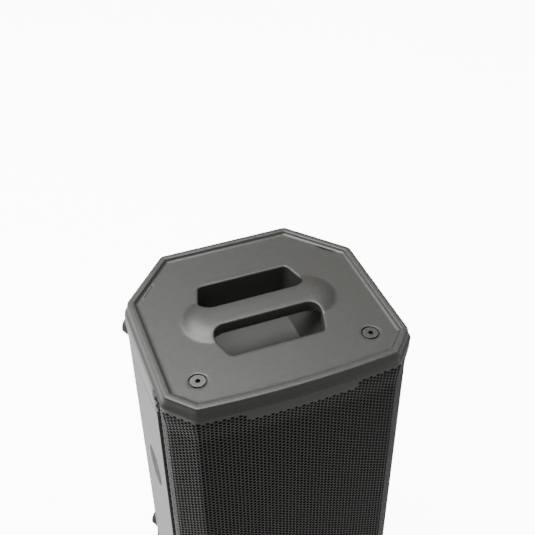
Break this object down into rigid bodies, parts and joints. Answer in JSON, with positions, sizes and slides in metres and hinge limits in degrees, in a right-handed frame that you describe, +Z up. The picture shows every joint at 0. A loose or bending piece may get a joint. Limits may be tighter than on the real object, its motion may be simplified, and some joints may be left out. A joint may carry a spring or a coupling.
{
  "type": "pa loudspeaker",
  "caption": "Portable powered PA loudspeaker: chamfered moulded cabinet, recessed top panel with a bar handle over a cup, flush rigging bolts, wrap-round perforated grille.",
  "frame": {"origin": "on the floor, under the middle of the cabinet", "axes": "+Z up, +X to the right of a listener who faces the grille, +Y from the grille to the amplifier at the back"},
  "size_m": [0.3506, 0.3214, 0.5795],
  "materials": {
    "cabinet_plastic": "fine texture, moulded",
    "cap_plastic": "fine texture, moulded",
    "cup_plastic": "fine texture, moulded",
    "grille_steel": "black powder coat, perforated",
    "black_foam": "open-cell foam",
    "baffle_board": "black paint on board",
    "birch_board": "plain",
    "black_plastic": "satin",
    "grey_fibre": "needled felt",
    "frame_paint": "satin black",
    "rubber_black": "matte",
    "cone_paper": "coated paper",
    "cloth_black": "treated cloth",
    "cloth_tan": "resin-dipped cloth",
    "copper_wire": "enamelled",
    "zinc_steel": "zinc plated",
    "black_steel": "black oxide",
    "ferrite": "ground ferrite",
    "titanium_foil": "satin",
    "cast_alloy": "cast",
    "panel_paint": "satin powder coat",
    "fin_black": "black anodised",
    "window_glass": "gloss",
    "board_green": "solder resist",
    "component_black": "satin",
    "lead_red": "PVC",
    "knob_grey": "soft"
  },
  "bodies": {
    "cabinet": {"top_cap": "cap_plastic", "handle_cup": "cup_plastic", "bottom_cap": "cap_plastic", "cabinet_shell": "cabinet_plastic", "side_panel_right": "cabinet_plastic", "side_panel_left": "cabinet_plastic", "grille": "grille_steel", "acoustic_foam": "black_foam", "grille_clips": "black_plastic", "front_baffle": "baffle_board", "brace": "birch_board", "port_tubes": "black_plastic", "damping_pads": "grey_fibre", "woofer_basket": "frame_paint", "woofer_gasket": "rubber_black", "woofer_surround": "cloth_black", "woofer_spider": "cloth_tan", "woofer_motor_plates": "zinc_steel", "woofer_magnet": "ferrite", "woofer_screws": "black_steel", "horn": "black_plastic", "horn_screws": "black_steel", "driver_plates": "zinc_steel", "driver_magnet": "ferrite", "driver_phase_plug": "cast_alloy", "driver_rear_cover": "cast_alloy", "amp_panel": "panel_paint", "amp_gasket": "rubber_black", "heat_sink": "fin_black", "amp_screws": "black_steel", "display_window": "window_glass", "potentiometers": "zinc_steel", "switch_bodies": "zinc_steel", "mains_inlet": "black_plastic", "rocker_frame": "black_plastic", "circuit_boards": "board_green", "board_pillars": "zinc_steel", "board_components": "component_black", "internal_leads": "lead_red", "rigging_hardware": "black_steel", "rigging_bolts": "zinc_steel", "pole_socket": "cast_alloy", "feet": "rubber_black", "foot_screws": "zinc_steel", "input_sockets": "black_plastic", "link_socket": "black_plastic"},
    "woofer_mover": {"woofer_cone": "cone_paper", "dust_cap": "cone_paper", "voice_coil": "copper_wire"},
    "diaphragm": {"driver_diaphragm": "titanium_foil"},
    "volume_1": {"volume_knob_1": "knob_grey"},
    "volume_2": {"volume_knob_2": "knob_grey"},
    "encoder_turn": {"encoder_spindle": "zinc_steel"},
    "encoder_push": {"encoder_knob": "knob_grey"},
    "button_1": {"push_button_1": "knob_grey"},
    "button_2": {"push_button_2": "knob_grey"},
    "rocker": {"power_rocker": "black_plastic"},
    "latch_1": {"latch_tab_1": "zinc_steel"},
    "latch_2": {"latch_tab_2": "zinc_steel"}
  },
  "joints": [
    {"name": "woofer_stroke", "type": "slide", "parent": "cabinet", "child": "woofer_mover", "axis": [0, -1, 0], "range_m": [-0.006, 0.006], "stiffness_N_per_m": 3000},
    {"name": "diaphragm_stroke", "type": "slide", "parent": "cabinet", "child": "diaphragm", "axis": [0, 1, 0], "range_m": [-0.0004, 0.0004], "stiffness_N_per_m": 400},
    {"name": "volume_1_turn", "type": "hinge", "parent": "cabinet", "child": "volume_1", "pos_m": [-0.045, 0.142, 0.366], "axis": [0, 1, 0], "range_deg": [-150, 150]},
    {"name": "volume_2_turn", "type": "hinge", "parent": "cabinet", "child": "volume_2", "pos_m": [0.045, 0.142, 0.366], "axis": [0, 1, 0], "range_deg": [-150, 150]},
    {"name": "encoder_turn", "type": "hinge", "parent": "cabinet", "child": "encoder_turn", "pos_m": [0, 0.142, 0.412], "axis": [0, 1, 0], "continuous": true},
    {"name": "encoder_press", "type": "slide", "parent": "encoder_turn", "child": "encoder_push", "axis": [0, -1, 0], "range_m": [0, 0.0005], "stiffness_N_per_m": 300, "springref_m": -0.0003},
    {"name": "button_1_press", "type": "slide", "parent": "cabinet", "child": "button_1", "axis": [0, -1, 0], "range_m": [0, 0.0008], "stiffness_N_per_m": 200, "springref_m": -0.0003},
    {"name": "button_2_press", "type": "slide", "parent": "cabinet", "child": "button_2", "axis": [0, -1, 0], "range_m": [0, 0.0008], "stiffness_N_per_m": 200, "springref_m": -0.0003},
    {"name": "rocker_tip", "type": "hinge", "parent": "cabinet", "child": "rocker", "pos_m": [0.042, 0.136, 0.098], "axis": [-1, 0, 0], "range_deg": [0, 16]},
    {"name": "latch_1_press", "type": "slide", "parent": "cabinet", "child": "latch_1", "axis": [0, -1, 0], "range_m": [0, 0.0015], "stiffness_N_per_m": 200, "springref_m": -0.0003},
    {"name": "latch_2_press", "type": "slide", "parent": "cabinet", "child": "latch_2", "axis": [0, -1, 0], "range_m": [0, 0.0015], "stiffness_N_per_m": 200, "springref_m": -0.0003}
  ]
}
